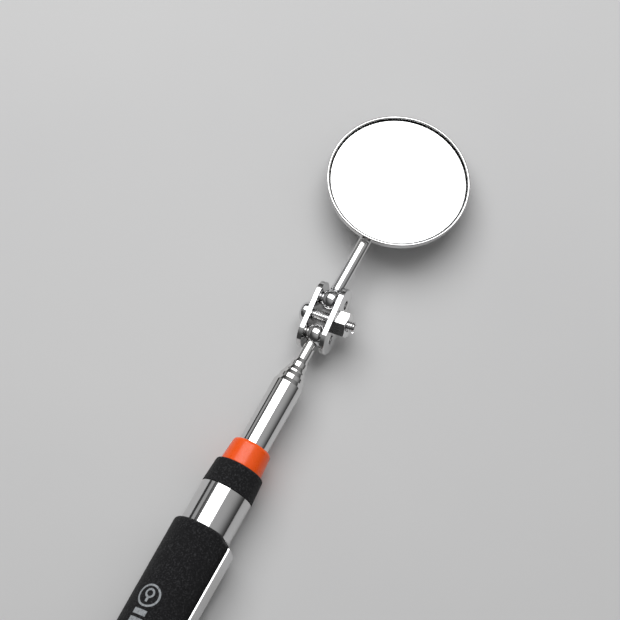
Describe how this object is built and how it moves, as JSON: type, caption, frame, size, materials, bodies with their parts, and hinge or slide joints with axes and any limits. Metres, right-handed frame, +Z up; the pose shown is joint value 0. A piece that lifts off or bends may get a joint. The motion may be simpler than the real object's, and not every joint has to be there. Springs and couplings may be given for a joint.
{
  "type": "telescoping inspection mirror",
  "caption": "Pocket inspection mirror: round mirror on a twin-ball clamp joint at the end of a telescoping chrome handle with foam grip and pocket clip.",
  "frame": {"origin": "middle of the end cap's flat butt face, on the tool's long axis", "axes": "+X along the tool from the butt to the mirror, +Z up out of the mirror's face, +Y to the left when looking along +X"},
  "size_m": [0.2601, 0.05, 0.0224],
  "materials": {
    "chrome_plate": "polished",
    "spring_bronze": "satin",
    "grip_foam": "matte",
    "orange_plastic": "gloss",
    "pad_foam": "matte",
    "silvered_glass": "polished"
  },
  "bodies": {
    "handle": {"end_cap": "orange_plastic", "outer_tube": "chrome_plate", "foam_grip": "grip_foam", "grip_collar": "orange_plastic", "pocket_clip": "chrome_plate"},
    "second_section": {"second_tube": "chrome_plate", "second_tube_sleeve": "spring_bronze"},
    "third_section": {"third_tube": "chrome_plate", "third_tube_sleeve": "spring_bronze"},
    "fourth_section": {"fourth_tube": "chrome_plate", "fourth_tube_sleeve": "spring_bronze"},
    "inner_section": {"inner_rod": "chrome_plate", "rod_sleeve": "spring_bronze"},
    "lower_swivel": {"lower_ball": "chrome_plate"},
    "clamp": {"head_side_plate": "chrome_plate", "nut_side_plate": "chrome_plate", "clamp_screw": "chrome_plate"},
    "nut": {"clamp_nut": "chrome_plate"},
    "upper_swivel": {"upper_ball": "chrome_plate"},
    "mirror_head": {"mirror_rod": "chrome_plate", "mirror_cup": "chrome_plate", "mirror_pad": "pad_foam", "mirror_glass": "silvered_glass"}
  },
  "joints": [
    {"name": "second_section_slide", "type": "slide", "parent": "handle", "child": "second_section", "axis": [1, 0, 0], "range_m": [0, 0.13]},
    {"name": "third_section_slide", "type": "slide", "parent": "second_section", "child": "third_section", "axis": [1, 0, 0], "range_m": [0, 0.13]},
    {"name": "fourth_section_slide", "type": "slide", "parent": "third_section", "child": "fourth_section", "axis": [1, 0, 0], "range_m": [0, 0.13]},
    {"name": "inner_section_slide", "type": "slide", "parent": "fourth_section", "child": "inner_section", "axis": [1, 0, 0], "range_m": [0, 0.13]},
    {"name": "lower_ball_spin", "type": "hinge", "parent": "inner_section", "child": "lower_swivel", "pos_m": [0.1735, 0, 0], "axis": [1, 0, 0], "continuous": true},
    {"name": "lower_swing", "type": "hinge", "parent": "lower_swivel", "child": "clamp", "pos_m": [0.1735, 0, 0], "axis": [0.1021, -0.9709, 0.2164], "range_deg": [-75, 75]},
    {"name": "nut_turn", "type": "hinge", "parent": "clamp", "child": "nut", "pos_m": [0.18016, 0.00067, -0.00015], "axis": [0.1021, -0.9709, 0.2164], "continuous": true},
    {"name": "upper_swing", "type": "hinge", "parent": "clamp", "child": "upper_swivel", "pos_m": [0.18683, 0.00134, -0.0003], "axis": [0.1021, -0.9709, 0.2164], "range_deg": [-75, 75]},
    {"name": "mirror_spin", "type": "hinge", "parent": "upper_swivel", "child": "mirror_head", "pos_m": [0.18683, 0.00134, -0.0003], "axis": [1, 0, 0], "continuous": true}
  ]
}
